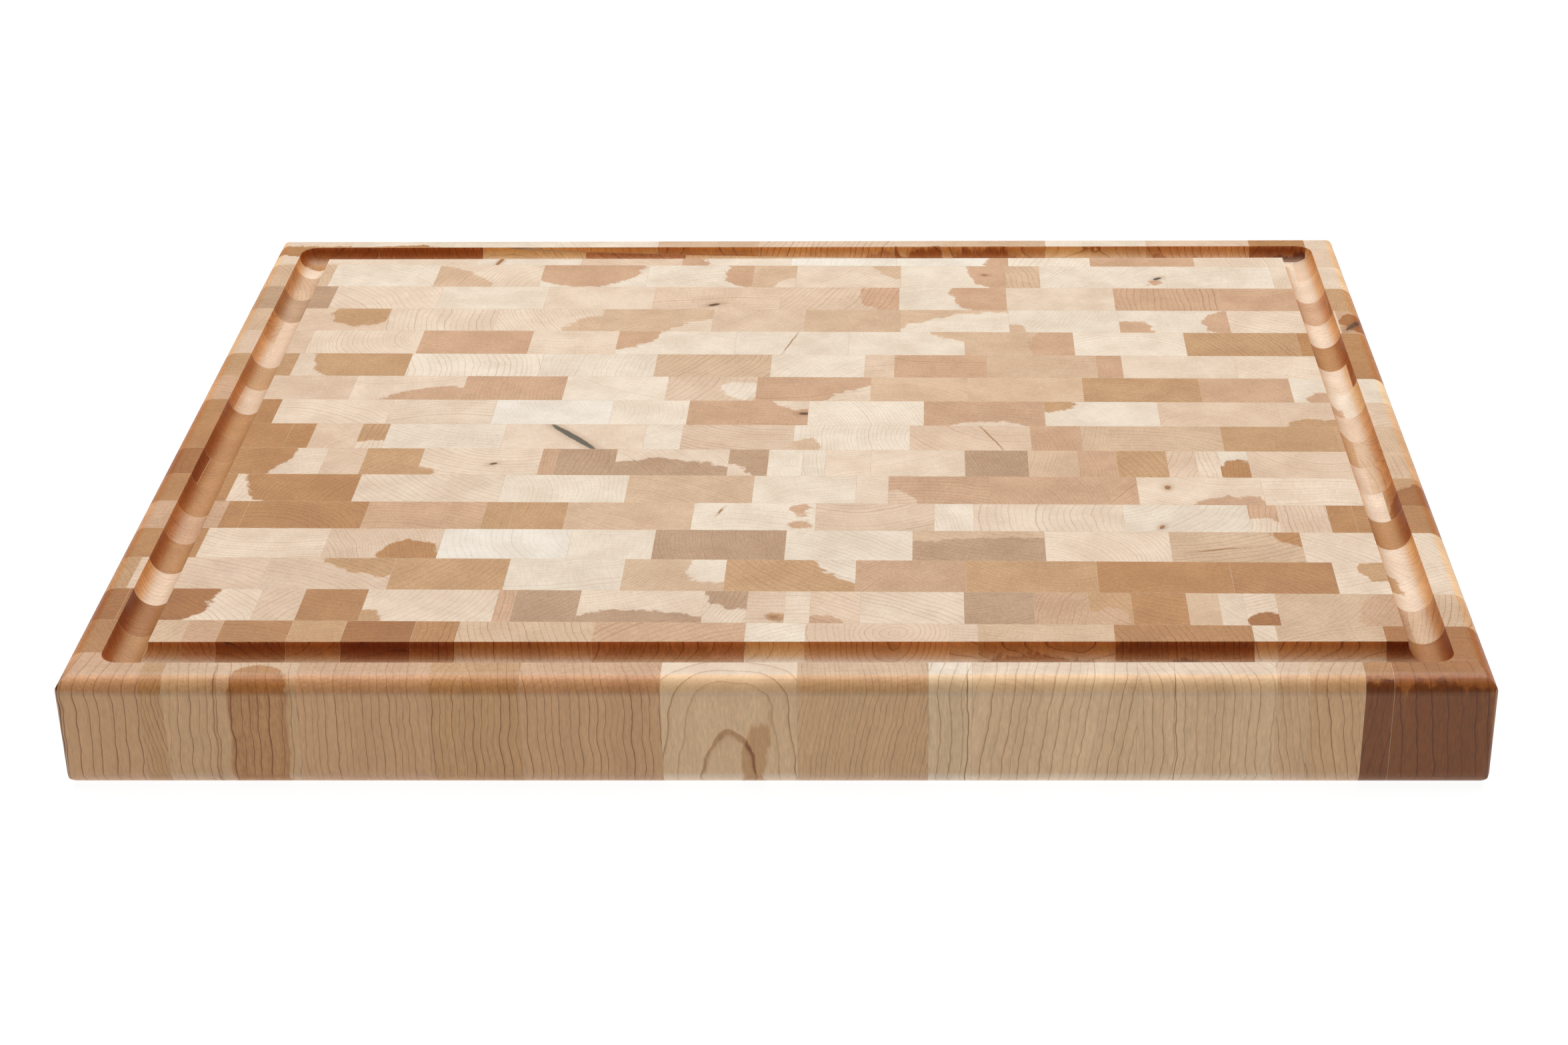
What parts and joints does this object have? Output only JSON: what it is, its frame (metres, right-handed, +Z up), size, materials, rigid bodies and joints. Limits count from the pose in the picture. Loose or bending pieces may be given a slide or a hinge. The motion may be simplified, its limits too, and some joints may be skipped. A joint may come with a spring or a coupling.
{
  "type": "cutting board",
  "caption": "End-grain maple butcher-block cutting board with rounded edges and a juice groove round the working face.",
  "frame": {"origin": "centre of the underside, on the surface that the board rests on", "axes": "+X along the board's length, +Y from the front edge to the back edge, +Z up out of the grooved working face"},
  "size_m": [0.61, 0.508, 0.053],
  "materials": {
    "end_grain_maple": "oiled satin",
    "wood_glue": "cured glue line, sanded flush"
  },
  "bodies": {
    "root": {"strip_01": "end_grain_maple", "strip_02": "end_grain_maple", "strip_03": "end_grain_maple", "strip_04": "end_grain_maple", "strip_05": "end_grain_maple", "strip_06": "end_grain_maple", "strip_07": "end_grain_maple", "strip_08": "end_grain_maple", "strip_09": "end_grain_maple", "strip_10": "end_grain_maple", "strip_11": "end_grain_maple", "strip_12": "end_grain_maple", "strip_13": "end_grain_maple", "strip_14": "end_grain_maple", "strip_15": "end_grain_maple", "strip_16": "end_grain_maple", "strip_17": "end_grain_maple", "strip_18": "end_grain_maple", "block_glue_01": "wood_glue", "block_glue_02": "wood_glue", "block_glue_03": "wood_glue", "block_glue_04": "wood_glue", "block_glue_05": "wood_glue", "block_glue_06": "wood_glue", "block_glue_07": "wood_glue", "block_glue_08": "wood_glue", "block_glue_09": "wood_glue", "block_glue_10": "wood_glue", "block_glue_11": "wood_glue", "block_glue_12": "wood_glue", "block_glue_13": "wood_glue", "block_glue_14": "wood_glue", "block_glue_15": "wood_glue", "block_glue_16": "wood_glue", "block_glue_17": "wood_glue", "block_glue_18": "wood_glue", "strip_glue_01": "wood_glue", "strip_glue_02": "wood_glue", "strip_glue_03": "wood_glue", "strip_glue_04": "wood_glue", "strip_glue_05": "wood_glue", "strip_glue_06": "wood_glue", "strip_glue_07": "wood_glue", "strip_glue_08": "wood_glue", "strip_glue_09": "wood_glue", "strip_glue_10": "wood_glue", "strip_glue_11": "wood_glue", "strip_glue_12": "wood_glue", "strip_glue_13": "wood_glue", "strip_glue_14": "wood_glue", "strip_glue_15": "wood_glue", "strip_glue_16": "wood_glue", "strip_glue_17": "wood_glue"}
  },
  "joints": []
}
